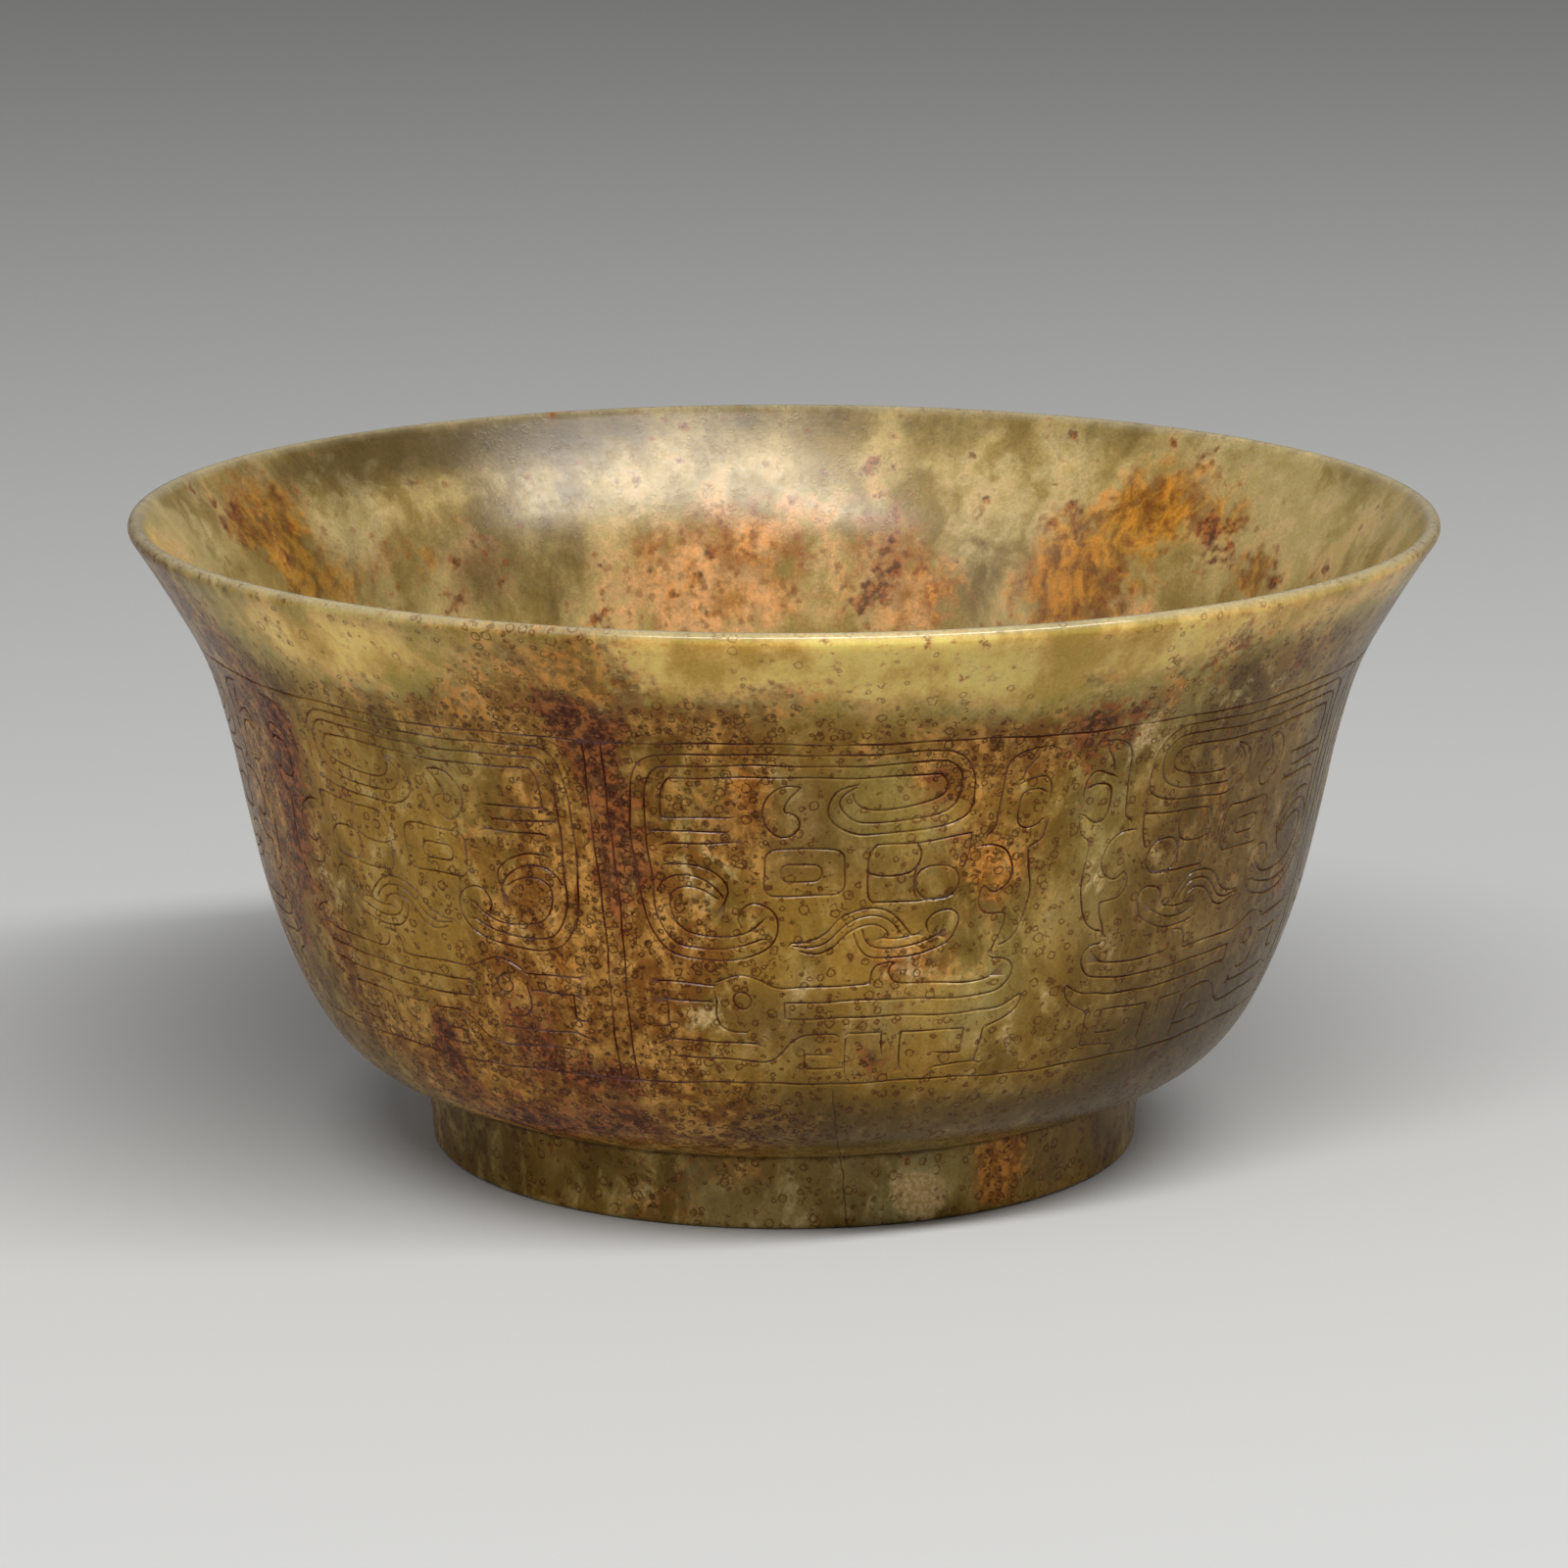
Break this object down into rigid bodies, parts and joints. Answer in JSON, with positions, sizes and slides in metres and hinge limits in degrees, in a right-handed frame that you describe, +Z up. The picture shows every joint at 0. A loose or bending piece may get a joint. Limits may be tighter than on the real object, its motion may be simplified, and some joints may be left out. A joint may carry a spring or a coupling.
{
  "type": "carved jade bowl",
  "caption": "Round bowl carved from one piece of mottled olive jade, with a flared lip, an engraved mask band and a plain ring foot.",
  "frame": {"origin": "on the axis of the bowl, in the plane that the foot ring stands on", "axes": "+Z up along the axis of the bowl; the pictured front faces -Y"},
  "size_m": [0.15, 0.15, 0.0741],
  "materials": {
    "jade": "polished"
  },
  "bodies": {
    "root": {"bowl": "jade"}
  },
  "joints": []
}
